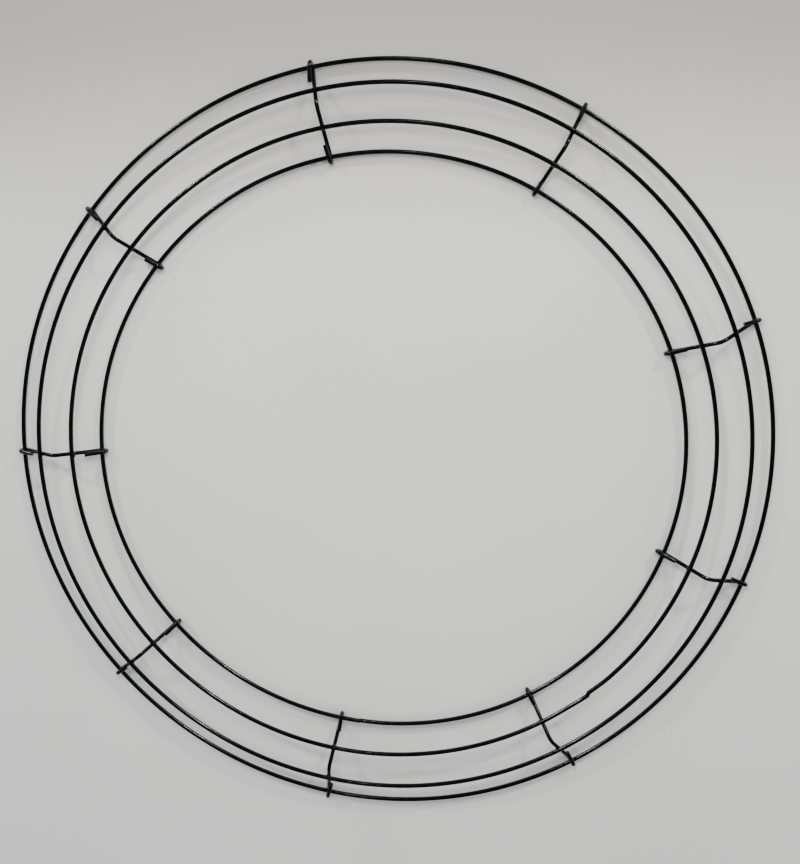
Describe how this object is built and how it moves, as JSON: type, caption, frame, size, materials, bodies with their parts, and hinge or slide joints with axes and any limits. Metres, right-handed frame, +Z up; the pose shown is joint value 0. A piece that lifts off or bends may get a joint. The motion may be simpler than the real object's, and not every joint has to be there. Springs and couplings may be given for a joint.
{
  "type": "wire wreath frame",
  "caption": "Round wire wreath frame: concentric painted wire rings held in a low ridge by hooked, welded crossbars, for binding greenery into a wreath.",
  "frame": {"origin": "on the rings' common axis, level with the undersides of the crossbars' hooks, which the frame rests on", "axes": "+Z up out of the ridge side, along the rings' axis; +Y towards crossbar_1; +X completes the right-handed set"},
  "size_m": [0.4572, 0.46, 0.0167],
  "materials": {
    "ring_wire": "semi-gloss dark green enamel on drawn steel wire",
    "crossbar_wire": "semi-gloss dark green enamel, thinner and scuffed at the bends",
    "weld": "dark green enamel pooled over a small weld"
  },
  "bodies": {
    "root": {"outer_ring": "ring_wire", "outer_middle_ring": "ring_wire", "inner_middle_ring": "ring_wire", "inner_ring": "ring_wire", "crossbar_1": "crossbar_wire", "crossbar_2": "crossbar_wire", "crossbar_3": "crossbar_wire", "crossbar_4": "crossbar_wire", "crossbar_5": "crossbar_wire", "crossbar_6": "crossbar_wire", "crossbar_7": "crossbar_wire", "crossbar_8": "crossbar_wire", "crossbar_9": "crossbar_wire", "outer_weld_1": "weld", "outer_weld_2": "weld", "outer_weld_3": "weld", "outer_weld_4": "weld", "outer_weld_5": "weld", "outer_weld_6": "weld", "outer_weld_7": "weld", "outer_weld_8": "weld", "outer_weld_9": "weld", "inner_weld_1": "weld", "inner_weld_2": "weld", "inner_weld_3": "weld", "inner_weld_4": "weld", "inner_weld_5": "weld", "inner_weld_6": "weld", "inner_weld_7": "weld", "inner_weld_8": "weld", "inner_weld_9": "weld"}
  },
  "joints": []
}
